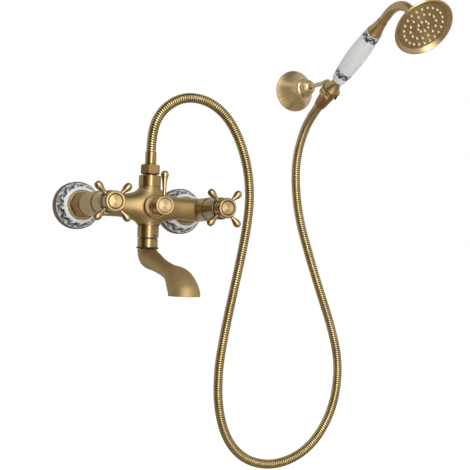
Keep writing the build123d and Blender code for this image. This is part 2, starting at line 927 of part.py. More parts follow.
with BuildPart() as wear_ring:
    wear_mid = (ring_bottom + wear_bottom) / 2
    band = (
        (spout_stub_radius + turning_gap, ring_bottom),
        (wear_ring_radius - 0.6, ring_bottom),
        (wear_ring_radius, wear_mid),
        (wear_ring_radius - 0.6, wear_bottom),
        (spout_stub_radius + turning_gap, wear_bottom),
    )
    turned(axis, band)
write(wear_ring, "spout_wear_ring")

# Spout: an elbow, then stations of (distance out from the body's middle, distance below
# the shoulder, radius, angle of the run below level)
elbow_end = math.radians(elbow_turn)
elbow_reach = body_reach + elbow_radius * (1 - math.cos(elbow_end))
elbow_height = spout_shoulder - elbow_radius * math.sin(elbow_end)
spout_run = (
    (26, 15.9, 12.2, 15),
    (45, 20.5, 10.4, 13),
    (67, 25.3, 9.9, 13),
    (84, 29.5, 11, 17),
    (100, 33.6, 14.6, 30),
    (113, 39.9, 17.6, 50),
    (122.5, 48.5, 19.1, 73),
    (125.5, 55.9, spout_outlet_radius, 90),
)
spout_stations = [(elbow_reach, elbow_height, elbow_pipe, 90 - elbow_turn)]
for ahead, below, radius, angle in spout_run:
    spout_stations.append((body_reach + ahead, spout_shoulder - below, radius, angle))
clip_top = nipple_bottom - spout_clip_play
clip_bottom = ring_floor + spout_clip_play
o_ring_heights = (stub_top - 5, stub_top - 11)


def spout_plane(station):
    """Plane square to the spout at one of its stations."""
    reach, height, _, angle = station
    drop = math.radians(angle)
    run = (0, -math.cos(drop), -math.sin(drop))
    return Plane(origin=(0, -reach, height), x_dir=(1, 0, 0), z_dir=run)


def spout_form(stations, inset, mode=Mode.ADD):
    """The elbow and the tapering run of the spout, with every radius smaller by the inset."""
    elbow_axis = Axis((0, -body_reach - elbow_radius, spout_shoulder), (-1, 0, 0))
    with BuildSketch(Plane.XY.offset(spout_shoulder)) as elbow_section:
        with Locations((0, -body_reach)):
            Circle(elbow_pipe - inset)
    revolve(elbow_section.sketch, axis=elbow_axis, revolution_arc=elbow_turn, mode=mode)
    planes = [spout_plane(station) for station in stations]
    with BuildLine() as run:
        Spline(*[plane.origin for plane in planes], tangents=[planes[0].z_dir, planes[-1].z_dir])
    sections = []
    for plane, station in zip(planes, stations):
        with BuildSketch(plane) as section:
            Circle(station[2] - inset)
        sections.append(section.sketch.faces()[0])
    sweep(sections, path=run.wires()[0], multisection=True, mode=mode)


aerator_plane = spout_plane(spout_stations[-2]).offset(-aerator_setback)
aerator_face = aerator_plane.offset(aerator_height)
with BuildPart() as spout:
    spout_form(spout_stations, 0)
    spout_form(spout_stations[:-2], spout_wall, Mode.SUBTRACT)
    foot = elbow_pipe - spout_wall + 0.6
    stub = (
        (0, spout_shoulder - spout_floor),
        (foot, spout_shoulder - spout_floor),
        (foot, spout_shoulder),
        (spout_stub_radius, spout_shoulder),
        (spout_stub_radius, clip_bottom),
        (spout_clip_root, clip_bottom),
        (spout_clip_root, clip_top),
        (spout_stub_radius, clip_top),
        (spout_stub_radius, stub_top - 0.8),
        (spout_stub_radius - 0.8, stub_top),
        (0, stub_top),
    )
    turned(axis, stub)
    bore(axis, spout_stub_bore, spout_shoulder - spout_floor, stub_top)
    with BuildSketch(aerator_plane):
        Circle(aerator_shoulder)
    extrude(amount=-aerator_throat, mode=Mode.SUBTRACT)
    groove = o_ring_section + 0.1
    for height in o_ring_heights:
        floor = spout_stub_radius - 0.2 - 2 * o_ring_section
        tube(axis, spout_stub_radius + 1, floor, height - groove, height + groove, Mode.SUBTRACT)
    with BuildSketch(aerator_plane):
        Circle(aerator_radius + fit_gap)
    extrude(amount=aerator_height, mode=Mode.SUBTRACT)
    with BuildSketch(aerator_face):
        Circle(aerator_radius + fit_gap)
    with BuildSketch(spout_plane(spout_stations[-1])):
        Circle(spout_outlet_radius - spout_wall)
    loft(mode=Mode.SUBTRACT)
write(spout, "spout")

with BuildPart() as clip:
    tube(axis, spout_clip_radius, spout_clip_root + fit_gap, clip_bottom, clip_top)
    with BuildSketch(Plane.XY.offset(clip_bottom)):
        with Locations((0, -body_reach + spout_clip_radius)):
            Rectangle(3, 2 * (spout_clip_radius - spout_clip_root + 1))
    extrude(amount=clip_top - clip_bottom, mode=Mode.SUBTRACT)
write(clip, "spout_retaining_clip")

with BuildPart() as o_rings:
    for height in o_ring_heights:
        with BuildSketch(axis):
            with Locations((spout_stub_radius - 0.2 - o_ring_section, height)):
                Circle(o_ring_section)
        revolve(axis=Axis(axis.origin, axis.y_dir))
write(o_rings, "spout_o_rings")

with BuildPart() as aerator:
    with BuildSketch(aerator_plane):
        Circle(aerator_radius)
        Circle(aerator_radius - aerator_ring_wall, mode=Mode.SUBTRACT)
    extrude(amount=aerator_height)
    with BuildSketch(aerator_face):
        Circle(aerator_radius - aerator_ring_wall)
        with HexLocations(aerator_pitch / 2, 5, 5):
            Circle(aerator_hole, mode=Mode.SUBTRACT)
    extrude(amount=-aerator_screen)
write(aerator, "aerator")

# Wall holder for the hand shower
axis = out_plane(holder_x, holder_z)
plate_plane = facing_out(holder_x, plate_thickness, holder_z)
with BuildPart() as holder_plate:
    tube(axis, plate_radius, 0, 0, plate_thickness)
    tube(axis, plate_boss, 0, 0, plate_boss_reach)
    with Locations(plate_plane):
        with GridLocations(1, plate_hole_spacing, 1, 2):
            CounterSinkHole(plate_hole, plate_hole * 1.8)
write(holder_plate, "holder_wall_plate")

with BuildPart() as holder_screws:
    for height in (-plate_hole_spacing / 2, plate_hole_spacing / 2):
        screw_axis = out_plane(holder_x, holder_z + height)
        head = plate_hole * 1.8 - 0.4
        wood_screw = (
            (0, -screw_length),
            (0.4, -screw_length),
            (screw_thread, -screw_length + 5),
            (screw_thread, -0.5),
            (screw_neck, -0.5),
            (screw_neck, plate_thickness - head + screw_neck - 0.3),
            (head, plate_thickness - 0.3),
            (0, plate_thickness - 0.3),
        )
        turned(screw_axis, wood_screw)
write(holder_screws, "holder_screws")

with BuildPart() as holder_bell:
    flare = ((bell_radius, bell_lip), (24.6, 7.5), (19.2, 14.5), (15, 22), (bell_front_radius, bell_reach))
    web = bell_reach - bell_wall
    cavity = (
        (plate_boss + fit_gap, bell_reach),
        (plate_boss + fit_gap, web),
        (bell_front_radius - bell_wall + 0.2, web),
        (15 - bell_wall, 20.5),
        (19.2 - bell_wall, 13),
        (24.6 - bell_wall, 6),
        (bell_radius - bell_wall - 1.2, 0),
        (bell_radius, 0),
    )
    turned_smooth(axis, flare, cavity)
write(holder_bell, "holder_flange")

with BuildPart() as holder_neck:
    nose = (
        (0, plate_boss_reach + 0.5),
        (plate_boss + fit_gap, plate_boss_reach + 0.5),
        (plate_boss + fit_gap, bell_reach),
        (holder_bead - 1.2, bell_reach),
        (holder_bead, bell_reach + 1.2),
        (holder_bead, bell_reach + 3.8),
        (holder_bead - 1.2, bell_reach + 5),
        (holder_drum - 0.6, bell_reach + 6),
        (holder_drum - 0.6, bell_reach + 7),
        (holder_drum, bell_reach + 7.5),
        (holder_drum, bell_reach + 13.5),
        (holder_drum - 1.4, bell_reach + 16.5),
        (holder_drum - 4, bell_reach + 18.5),
        (rod_radius + 1, holder_nose_reach),
        (0, holder_nose_reach),
    )
    turned(axis, nose)
    bore(axis, rod_radius + fit_gap, rod_start_reach, holder_nose_reach)
write(holder_neck, "holder_neck")

with BuildPart() as holder_rod:
    tube(axis, rod_radius, 0, rod_start_reach, rod_end_reach)
write(holder_rod, "holder_rod")


def cone_radius(station):
    """Outer radius of the hose's cone nut at a station along the handle."""
    share = (station - cone_low - cone_shoulder) / (cone_high - cone_low - cone_shoulder)
    return cone_low_radius + 0.4 + (cone_high_radius - cone_low_radius - 0.4) * share


with BuildPart() as cradle:
    band = (
        (0, cradle_low),
        (cradle_radius - 0.2, cradle_low),
        (cradle_band_radius, cradle_low + 0.8),
        (cradle_band_radius, cradle_step - 0.5),
        (cradle_radius, cradle_step),
        (cradle_radius, cradle_high - 1.6),
        (cradle_band_radius, cradle_high - 1.2),
        (cradle_band_radius, cradle_high),
        (0, cradle_high),
    )
    turned(handle_plane, band)
    tube(axis, lug_radius, 0, lug_start_reach, lug_end_reach)
    bore(axis, rod_radius + fit_gap, lug_start_reach, rod_end_reach)
    low = cradle_low - 1
    high = cradle_high + 8
    seat = ((0, low), (cone_radius(low) + face_gap, low), (cone_radius(high) + face_gap, high), (0, high))
    turned(handle_plane, seat, Mode.SUBTRACT)
    with BuildSketch(Plane(origin=on_handle(low), x_dir=(1, 0, 0), z_dir=handle_dir)):
        with PolarLocations(cradle_band_radius, 1, start_angle=cradle_slot_turn - 90):
            Rectangle(2 * cradle_band_radius, cradle_slot)
    extrude(amount=high - low, mode=Mode.SUBTRACT)
write(cradle, "handset_cradle")

# Hand shower: the hose's cone nut and the handle
with BuildPart() as cone_nut:
    cone_outline = (
        (cone_hose_bore, cone_low),
        (cone_low_radius - 1, cone_low),
        (cone_low_radius, cone_low + 0.4 * cone_shoulder),
        (cone_radius(cone_low + cone_shoulder), cone_low + cone_shoulder),
        (cone_radius(cone_high), cone_high),
        (cone_bore, cone_high),
        (cone_bore, cone_thread_low),
        (cone_hose_bore, cone_thread_low),
    )
    turned(handle_plane, cone_outline)
write(cone_nut, "handset_hose_nut")

ferrule_mid = (lower_ferrule_foot + lower_ferrule_top) / 2
grip_top = lower_ferrule_top + grip_length
tie_top = grip_top + upper_ferrule_length / 2
with BuildPart() as lower_ferrule:
    waist = (
        (lower_ferrule_flange - 0.2, lower_ferrule_foot + 1),
        (lower_ferrule_flange - 2.2, lower_ferrule_foot + 4.8),
        (lower_ferrule_waist, ferrule_mid + 3.2),
        (lower_ferrule_neck - 0.8, lower_ferrule_top - 2.8),
        (lower_ferrule_neck, lower_ferrule_top - 0.5),
    )
    core = (
        (lower_ferrule_neck, lower_ferrule_top),
        (tie_tube_radius, lower_ferrule_top),
        (tie_tube_radius, tie_top),
        (tie_tube_bore, tie_top),
        (tie_tube_bore, stem_low),
        (cone_bore - running_gap, stem_low),
        (cone_bore - running_gap, lower_ferrule_foot),
        (lower_ferrule_flange, lower_ferrule_foot),
    )
    turned_smooth(handle_plane, waist, core)
write(lower_ferrule, "handset_lower_ferrule")

with BuildPart() as grip:
    belly = (
        (grip_low_radius, lower_ferrule_top),
        (grip_low_radius + 2.4, lower_ferrule_top + grip_length * 0.2),
        (grip_mid_radius, lower_ferrule_top + grip_length * 0.49),
        (grip_mid_radius - 0.8, lower_ferrule_top + grip_length * 0.75),
        (grip_high_radius, grip_top),
    )
    closing = ((tie_tube_radius + fit_gap, grip_top), (tie_tube_radius + fit_gap, lower_ferrule_top))
    turned_smooth(handle_plane, belly, closing)
write(grip, "porcelain_grip")

neck_foot = grip_top + upper_ferrule_length
neck_socket = neck_foot - upper_ferrule_length / 2 + 1
with BuildPart() as upper_ferrule:
    taper = (
        (upper_ferrule_radius - 0.5, grip_top + 3.4),
        (upper_ferrule_radius - 1.7, grip_top + 8),
        (neck_tube_radius + 1.4, grip_top + 14.5),
        (neck_tube_radius + 0.6, neck_foot),
    )
    inside = (
        (neck_tube_radius + fit_gap, neck_foot),
        (neck_tube_radius + fit_gap, neck_socket),
        (tie_tube_radius + fit_gap, neck_socket),
        (tie_tube_radius + fit_gap, grip_top),
        (upper_ferrule_radius - 0.5, grip_top),
        (upper_ferrule_radius + 0.2, grip_top + 1.2),
        (upper_ferrule_radius, grip_top + 2.4),
    )
    turned_smooth(handle_plane, taper, inside)
write(upper_ferrule, "handset_upper_ferrule")

# Neck tube: straight out of the ferrule, round a bend and straight into the head
bend_centre = on_handle(neck_foot + neck_straight)


def heading(angle):
    """Direction in the handle's plane that rises at an angle in degrees."""
    return Vector(0, -math.cos(math.radians(angle)), math.sin(math.radians(angle)))


def on_bend(turn):
    """Point on the neck's bend after a turn in degrees."""
    down = heading(handle_rise - 90)
    return bend_centre + down * neck_bend_radius - heading(handle_rise - turn - 90) * neck_bend_radius


head_angle = handle_rise - neck_bend_angle
face_dir = heading(head_angle)
neck_end = on_bend(neck_bend_angle) + face_dir * neck_end_length
with BuildPart() as neck:
    with BuildLine() as neck_line:
        Line(on_handle(neck_socket + 0.2), bend_centre)
        ThreePointArc(bend_centre, on_bend(neck_bend_angle / 2), on_bend(neck_bend_angle))
        Line(on_bend(neck_bend_angle), neck_end)
    with BuildSketch(Plane(origin=on_handle(neck_socket + 0.2), x_dir=(1, 0, 0), z_dir=handle_dir)):
        Circle(neck_tube_radius)
        Circle(neck_tube_bore, mode=Mode.SUBTRACT)
    sweep(path=neck_line.wires()[0])
write(neck, "handset_neck")

# Head: heights on its plane are depths behind the rim's front
rim_centre = neck_end + face_dir * (head_depth - head_socket)
head_plane = Plane(origin=rim_centre, x_dir=(1, 0, 0), z_dir=(0, face_dir.Z, -face_dir.Y))
seat_depth = face_recess + face_thickness
nut_seat = head_depth - head_nut_height
with BuildPart() as head_shell:
    back = (
        (head_spigot + 2.4, nut_seat - 0.4),
        (15.8, 22),
        (23, 16),
        (30, 10),
        (33.7, 6.9),
        (head_radius - 1.4, rim_depth),
        (head_radius, rim_depth - 1.9),
    )
    hollow = (
        (head_radius, rim_land),
        (head_radius - 1.2, 0),
        (head_radius - 2, 0),
        (face_radius + 0.6, face_recess - 0.6),
        (face_radius + fit_gap, face_recess),
        (face_radius + fit_gap, seat_depth),
        (face_radius - 1.5, seat_depth),
        *[(radius - head_wall, depth) for radius, depth in back[3:0:-1]],
        (neck_tube_bore, nut_seat - 2),
        (neck_tube_bore, head_depth - head_socket),
        (neck_tube_radius + fit_gap, head_depth - head_socket),
        (neck_tube_radius + fit_gap, nut_seat + head_spigot_height),
        (head_spigot, nut_seat + head_spigot_height),
        (head_spigot, nut_seat - 0.2),
        (head_spigot + 1.4, nut_seat - 0.2),
    )
    turned_smooth(head_plane, back, hollow)
write(head_shell, "shower_head_shell")

# Milled nut that holds the neck in the head
with BuildPart() as head_nut:
    collar = (
        (head_spigot + fit_gap, nut_seat),
        (head_nut_radius - 0.4, nut_seat),
        (head_nut_radius, nut_seat + 0.4),
        (head_nut_radius, head_depth - 0.5),
        (head_nut_radius - 0.5, head_depth),
        (neck_tube_radius + fit_gap, head_depth),
        (neck_tube_radius + fit_gap, nut_seat + head_spigot_height + fit_gap),
        (head_spigot + fit_gap, nut_seat + head_spigot_height + fit_gap),
    )
    turned(head_plane, collar)
    flute_foot = rim_centre - face_dir * (nut_seat - 1)
    with BuildSketch(Plane(origin=flute_foot, x_dir=(1, 0, 0), z_dir=-face_dir)):
        with PolarLocations(head_nut_radius + 0.1, head_nut_flutes):
            Circle(head_nut_flute)
    extrude(amount=head_nut_height + 2, mode=Mode.SUBTRACT)
write(head_nut, "head_collar_nut")

face_front = Plane(origin=rim_centre - face_dir * face_recess, x_dir=(1, 0, 0), z_dir=-face_dir)
with BuildPart() as face_plate:
    with BuildSketch(face_front):
        Circle(face_radius)
        for ring_radius, count, share in nozzle_rings:
            with PolarLocations(ring_radius, count, start_angle=share * 360 / count):
                Circle(nozzle_radius + fit_gap, mode=Mode.SUBTRACT)
    extrude(amount=face_thickness)
write(face_plate, "shower_face_plate")

with BuildPart() as nozzles:
    with BuildSketch(face_front.offset(-nozzle_height)):
        for ring_radius, count, share in nozzle_rings:
            with PolarLocations(ring_radius, count, start_angle=share * 360 / count):
                Circle(nozzle_radius)
    extrude(amount=nozzle_height + face_thickness)
write(nozzles, "shower_nozzles")
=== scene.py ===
import json
import math

import bpy
import numpy as np
from mathutils import Matrix, Vector


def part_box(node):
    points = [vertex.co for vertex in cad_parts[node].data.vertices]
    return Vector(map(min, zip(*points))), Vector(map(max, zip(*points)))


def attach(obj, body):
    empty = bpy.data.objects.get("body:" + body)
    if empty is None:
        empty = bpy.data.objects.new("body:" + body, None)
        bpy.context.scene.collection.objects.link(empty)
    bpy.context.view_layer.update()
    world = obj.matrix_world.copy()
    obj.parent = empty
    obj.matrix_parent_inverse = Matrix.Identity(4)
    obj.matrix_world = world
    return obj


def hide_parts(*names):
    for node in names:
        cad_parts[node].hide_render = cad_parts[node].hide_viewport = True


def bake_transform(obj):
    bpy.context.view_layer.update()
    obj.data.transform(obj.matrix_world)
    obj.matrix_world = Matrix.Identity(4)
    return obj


# A bath mixer with its hose, hand shower and wall holder, in aged brass and porcelain.
# Metres. +X runs right along the wall, +Y into the wall and +Z up. The origin is on the
# wall, midway between the two inlets.

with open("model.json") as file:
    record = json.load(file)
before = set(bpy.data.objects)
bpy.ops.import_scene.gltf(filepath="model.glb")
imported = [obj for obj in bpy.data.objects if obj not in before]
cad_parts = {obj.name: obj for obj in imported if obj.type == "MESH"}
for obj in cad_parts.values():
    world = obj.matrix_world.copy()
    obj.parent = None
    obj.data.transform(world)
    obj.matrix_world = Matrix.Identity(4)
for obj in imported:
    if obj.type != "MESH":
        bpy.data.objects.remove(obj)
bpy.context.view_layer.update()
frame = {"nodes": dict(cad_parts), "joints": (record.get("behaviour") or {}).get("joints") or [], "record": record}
nodes = frame["nodes"]
joints = {joint["name"]: joint for joint in frame["joints"]}
mounts = {mount["name"]: mount for mount in frame["record"]["mounts"]}
slots = {part["node"]: part["material_slot"] for part in frame["record"]["subparts"]}

MM = 0.001

# The inlets and the body, with the radii of its cross tube and of its two necks
INLET_X = 75 * MM
BODY_Y = -80 * MM
TUBE_RADIUS = 15 * MM
NECK_RADIUS = 14.2 * MM
NECK_UP = 24 * MM

# The skin that rounds the body's corners. The blend climbs a neck by its height. Distances
# from the necks count less than those from the tube, by the spread, so it runs out further
# along the tube. The skin stands a little off the casting and leaves the boss in front free.
BLEND_HEIGHT = 13 * MM
BLEND_SPREAD = 0.4
BLEND_LEAST = 0.02
BLEND_REACH = 45 * MM
SKIN_LIFT = 0.03 * MM
SKIN_DEPTH = 0.8 * MM
SKIN_RIM = 50
BOSS_CLEAR = 12.5 * MM

# The rays that find the skin: their lean from the tube's axis in degrees, their numbers,
# how far they search and how often the search halves
RAY_LEANS = (18, 162)
RAY_ROWS = 110
RAY_COLUMNS = 120
RAY_REACH = 60 * MM
RAY_HALVINGS = 40

# The hand shower. Its handle is measured from a foot below the joint that it turns on. The
# handle's rise and the bend of its neck are in degrees.
HANDLE_REACH = 185 * MM
HANDLE_AXIS = Vector(joints["handset_lift"]["axis"]).normalized()
HANDLE_FOOT = Vector(joints["handset_turn"]["pos_m"]) - HANDLE_AXIS * HANDLE_REACH
HANDLE_RISE = 31.1
NECK_BEND = 74
CONE_LOW = 147 * MM

# The hose. It ends with a straight stretch in the cone nut, and the width of a groove is a
# share of the ribs' pitch.
HOSE_RADIUS = 6.6 * MM
HOSE_FOOT_Z = 72 * MM
HOSE_STRAIGHT = 28 * MM
GROOVE_DEPTH = 0.7 * MM
GROOVE_WIDTH = 0.15
RIB_PITCH = 3.1 * MM
RINGS_PER_RIB = 8
HOSE_SIDES = 24

# The points that the hose hangs along, from the outlet on top to the hand shower
HOSE_POINTS = [
    (0, -0.080, 0.103),
    (0.0155, -0.080, 0.132),
    (0.0445, -0.080, 0.150),
    (0.0795, -0.078, 0.149),
    (0.1097, -0.076, 0.132),
    (0.1328, -0.071, 0.103),
    (0.1488, -0.068, 0.066),
    (0.1568, -0.064, 0.026),
    (0.1563, -0.060, -0.014),
    (0.1488, -0.057, -0.065),
    (0.1388, -0.055, -0.118),
    (0.1288, -0.054, -0.170),
    (0.1218, -0.053, -0.222),
    (0.1247, -0.052, -0.274),
    (0.1406, -0.051, -0.318),
    (0.1694, -0.050, -0.346),
    (0.2084, -0.049, -0.357),
    (0.2476, -0.048, -0.351),
    (0.2817, -0.046, -0.332),
    (0.3077, -0.044, -0.300),
    (0.3237, -0.042, -0.260),
    (0.3277, -0.039, -0.210),
    (0.3157, -0.035, -0.160),
    (0.2957, -0.030, -0.105),
    (0.2757, -0.026, -0.048),
    (0.2597, -0.022, 0.005),
    (0.2536, -0.020, 0.058),
    (0.2554, -0.021, 0.095),
    (0.2573, -0.0325, 0.124),
]

# The camera, at the photograph's own viewing angle
CAMERA_PLACE = Vector((-0.459, -1.255, -0.064))
CAMERA_TURN = math.radians(26.52)
CAMERA_RISE = math.radians(1.419)
CAMERA_ROLL = math.radians(2.04)
CAMERA_LENS = 73.53

# Linear colours of the brass: rubbed bright and partly a painted sheen, aged, dark with patina
# and on the rosette bases a painted shade, at a glancing angle and reddened; then those of the hose
BRASS_RUBBED_AND_SHEEN = (0.54, 0.39, 0.19, 1)
BRASS_PALE = (0.3, 0.2, 0.058, 1)
BRASS_AGED = (0.2, 0.122, 0.028, 1)
BRASS_DARK = (0.05, 0.027, 0.008, 1)
BRASS_EDGE = (0.55, 0.5, 0.4, 1)
BRASS_RED = (0.22, 0.11, 0.03, 1)
HOSE_PALE = (0.48, 0.365, 0.165, 1)
HOSE_AGED = (0.36, 0.255, 0.095, 1)
# The hose grooves' colour is a painted shade.
HOSE_GROOVE_SHADE = (0.06, 0.042, 0.016, 1)

# Grain of the brass: noise scales per metre, how much the brushing varies along its own
# lines, and the sizes of its relief, softened edges and dark recesses
CLOUD_SCALE = 26
FLECK_SCALE = 900
CAST_SCALE = 1500
BRUSH_SCALE = 2600
BRUSH_DRIFT = 0.02
BRUSH_DEPTH = 0.012 * MM
EDGE_RADIUS = 0.35 * MM
RECESS_REACH = 5 * MM
HOSE_CLOUD_SCALE = 45
HOSE_SCRATCH_SCALE = 1800
GRAIN_DEPTH = 0.02 * MM

# Porcelain
GLAZE = (0.7, 0.71, 0.69, 1)
GLAZE_SHADE = (0.65, 0.66, 0.64, 1)
GLAZE_SCALE = 30
INK = (0.01, 0.012, 0.03, 1)
FADE_SCALE = 260

# Painted scrollwork. Across a band, -1 and 1 are its edges. Curls and leaves each have a
# place along the repeat and a place across the band. The wobble is that of a painting hand.
WOBBLE = 0.14
WOBBLE_ACROSS = 0.8
WOBBLE_SCALE = 420
VINE_SWING = 0.62
VINE_WIDTH = 0.36
CURLS = ((0.25, -0.3), (0.75, 0.3))
CURL_STRETCH = 4.2
CURL_TURNS = 1.25
CURL_GAP = 0.34
CURL_REACH = 0.78
LEAVES = ((0.0, 0.72), (0.5, -0.72))
LEAF_STRETCH = 5.0
LEAF_SQUASH = 1.9
LEAF_SIZE = 0.16

# The painted bands: the middle and half the width of each, and the repeats round it
ROSETTE_BANDS = [(27.0 * MM, 3.2 * MM)]
ROSETTE_REPEATS = 13
GRIP_BANDS = [(221.5 * MM, 5.8 * MM), (296 * MM, 5.2 * MM)]
GRIP_REPEATS = 6

# The studio
FLOOR_Z = -0.75
FLOOR_REACH = 60
FLOOR_TONE = 0.82
FLOOR_LIFT = 0.7
FLOOR_CARD_LIFT = 0.02
AIR_LEVEL = 0.46
STUDIO_CENTRE = (0.1, -0.08, -0.05)


def add_object(name, data):
    """A new object in the scene."""
    made = bpy.data.objects.new(name, data)
    bpy.context.scene.collection.objects.link(made)
    return made


def make_camera():
    """The camera, set by its turn to the right, its rise and its roll."""
    forward = Vector((
        math.sin(CAMERA_TURN) * math.cos(CAMERA_RISE),
        math.cos(CAMERA_TURN) * math.cos(CAMERA_RISE),
        math.sin(CAMERA_RISE),
    ))
    level = Vector((math.cos(CAMERA_TURN), -math.sin(CAMERA_TURN), 0))
    above = level.cross(forward)
    right = level * math.cos(CAMERA_ROLL) + above * math.sin(CAMERA_ROLL)
    up = above * math.cos(CAMERA_ROLL) - level * math.sin(CAMERA_ROLL)
    data = bpy.data.cameras.new("camera")
    data.lens = CAMERA_LENS
    data.clip_start = 0.01
    data.clip_end = 100
    camera = add_object("camera", data)
    turn = Matrix((right, up, -forward)).transposed().to_4x4()
    camera.matrix_world = Matrix.Translation(CAMERA_PLACE) @ turn
    bpy.context.scene.camera = camera


class Shader:
    """A material built from short calls, most of which return an output socket."""

    def __init__(self, name):
        self.material = bpy.data.materials.new(name)
        self.material.use_nodes = True
        self.tree = self.material.node_tree
        self.tree.nodes.clear()
        self.output = self.node("ShaderNodeOutputMaterial")
        texture = self.node("ShaderNodeTexCoord")
        self.place = texture.outputs["Object"]
        self.normal = texture.outputs["Normal"]

    def node(self, kind, inputs=None, **settings):
        made = self.tree.nodes.new(kind)
        for key, value in settings.items():
            setattr(made, key, value)
        for key, value in (inputs or {}).items():
            self.feed(made.inputs[key], value)
        return made

    def feed(self, socket, value):
        if isinstance(value, bpy.types.NodeSocket):
            self.tree.links.new(value, socket)
        else:
            socket.default_value = value

    def math(self, operation, *values):
        made = self.node("ShaderNodeMath", operation=operation)
        for socket, value in zip(made.inputs, values):
            self.feed(socket, value)
        return made.outputs[0]

    def add(self, first, second):
        return self.math("ADD", first, second)

    def less(self, first, second):
        return self.math("SUBTRACT", first, second)

    def times(self, first, second):
        return self.math("MULTIPLY", first, second)

    def either(self, first, second):
        return self.math("MAXIMUM", first, second)

    def squares(self, first, second):
        return self.add(self.times(first, first), self.times(second, second))

    def vector(self, operation, *values):
        made = self.node("ShaderNodeVectorMath", operation=operation)
        for socket, value in zip(made.inputs, values):
            self.feed(socket, value)
        return made.outputs["Value" if operation == "DOT_PRODUCT" else "Vector"]

    def noise(self, scale, detail=3.0, roughness=0.5, at=None):
        inputs = {"Scale": scale, "Detail": detail, "Roughness": roughness}
        inputs["Vector"] = at or self.place
        return self.node("ShaderNodeTexNoise", inputs).outputs[0]

    def ramp(self, value, low, high, to_low=0.0, to_high=1.0):
        made = self.node("ShaderNodeMapRange", interpolation_type="SMOOTHSTEP")
        for socket, number in zip(made.inputs, (value, low, high, to_low, to_high)):
            self.feed(socket, number)
        return made.outputs[0]

    def mix(self, factor, first, second):
        """A colour between two. Inputs 0, 6 and 7 are the factor and the two colours."""
        made = self.node("ShaderNodeMix", data_type="RGBA")
        for number, value in ((0, factor), (6, first), (7, second)):
            self.feed(made.inputs[number], value)
        return made.outputs[2]

    def bump(self, height, distance, strength, normal=None):
        inputs = {"Height": height, "Distance": distance, "Strength": strength}
        if normal:
            inputs["Normal"] = normal
        return self.node("ShaderNodeBump", inputs).outputs[0]

    def show(self, surface):
        self.tree.links.new(surface.outputs[0], self.output.inputs[0])
        return self.material

    def finish(self, **inputs):
        """The finished material; each input is named as its socket is, in small letters."""
        named = {key.replace("_", " ").title(): value for key, value in inputs.items()}
        if "Ior" in named:
            named["IOR"] = named.pop("Ior")
        return self.show(self.node("ShaderNodeBsdfPrincipled", named))


def about_axis(shader, origin, direction):
    """Distance along an axis, distance from it and the angle round it."""
    from_origin = shader.vector("SUBTRACT", shader.place, tuple(origin))
    along = shader.vector("DOT_PRODUCT", from_origin, tuple(direction))
    side = Vector((1, 0, 0)) if abs(direction[0]) < 0.9 else Vector((0, 1, 0))
    other = Vector(direction).cross(side)
    first = shader.vector("DOT_PRODUCT", from_origin, tuple(side))
    second = shader.vector("DOT_PRODUCT", from_origin, tuple(other))
    out = shader.math("SQRT", shader.squares(first, second))
    return along, out, shader.math("ARCTAN2", second, first)


def turned_grain(shader, origin, direction, rubbed_and_sheen, faces_rubbed_and_sheen):
    """Brushing round an axis: the surface's own inputs, the fine noise, and how pale each place is, partly from
    wear and partly a painted sheen.
    """
    along, out, _ = about_axis(shader, origin, direction)
    from_origin = shader.vector("SUBTRACT", shader.place, tuple(origin))
    grain = {
        "tangent": shader.vector("CROSS_PRODUCT", tuple(direction), from_origin),
        "anisotropic": 0.7,
        "anisotropic_rotation": 0.25,
    }
    flat = shader.math("ABSOLUTE", shader.vector("DOT_PRODUCT", shader.normal, tuple(direction)))
    # Flat faces are paled by the faces' share and the rest by the part's share: partly wear, partly a painted
    # sheen.
    tone_shift = shader.ramp(flat, 0.75, 0.97, rubbed_and_sheen, faces_rubbed_and_sheen)
    line = shader.node("ShaderNodeCombineXYZ", {"X": along, "Y": out, "Z": 0.0}).outputs[0]
    drift = shader.vector("SCALE", shader.place)
    drift.node.inputs["Scale"].default_value = BRUSH_DRIFT
    brushed = shader.noise(BRUSH_SCALE, 2, 0.6, shader.vector("ADD", line, drift))
    return grain, brushed, tone_shift


